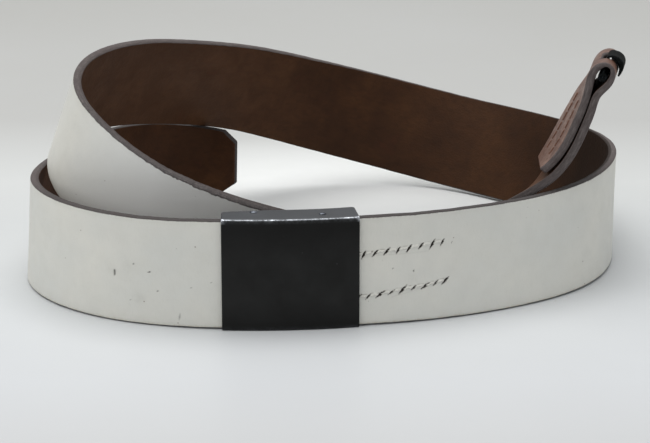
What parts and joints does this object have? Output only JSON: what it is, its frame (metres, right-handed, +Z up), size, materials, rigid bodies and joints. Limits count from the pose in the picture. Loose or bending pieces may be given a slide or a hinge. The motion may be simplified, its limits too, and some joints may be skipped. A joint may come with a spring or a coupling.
{
  "type": "leather waist belt",
  "caption": "Stiff leather waist belt standing in a loose coil, with a sheet-metal plate buckle, sewn tab and a hook in its folded end.",
  "frame": {"origin": "centre of the bottom of the bounding box, on the surface the belt stands on", "axes": "+Z up along the strap's width; +X along the coil's longest extent, from the inner turn's upper-left bend towards the hook end; -Y towards the buckle plate's face"},
  "size_m": [0.2895, 0.2668, 0.1115],
  "materials": {
    "white_faced_leather": "satin paint on the outer face, bare brown inner face",
    "brown_leather": "waxed",
    "waxed_thread": "matte, painted over",
    "black_enamel_steel": "satin",
    "blued_steel": "satin"
  },
  "bodies": {
    "belt": {"strap": "white_faced_leather", "buckle_tab": "brown_leather", "tab_stitch_upper": "waxed_thread", "tab_stitch_lower": "waxed_thread", "fold_stitch_upper": "waxed_thread", "fold_stitch_lower": "waxed_thread"},
    "buckle": {"buckle_plate": "black_enamel_steel", "tab_pin": "blued_steel", "catch_pin": "blued_steel"},
    "hook": {"hook": "black_enamel_steel"}
  },
  "joints": [
    {"name": "plate_rock", "type": "hinge", "parent": "belt", "child": "buckle", "pos_m": [-0.00194, -0.12265, 0], "axis": [0, 0, 1], "range_deg": [0, 1.5]},
    {"name": "hook_swivel", "type": "hinge", "parent": "belt", "child": "hook", "pos_m": [0.13096, -0.05265, 0.10251], "axis": [-0.1805, -0.9809, 0.0718], "range_deg": [-8, 1.5]}
  ]
}
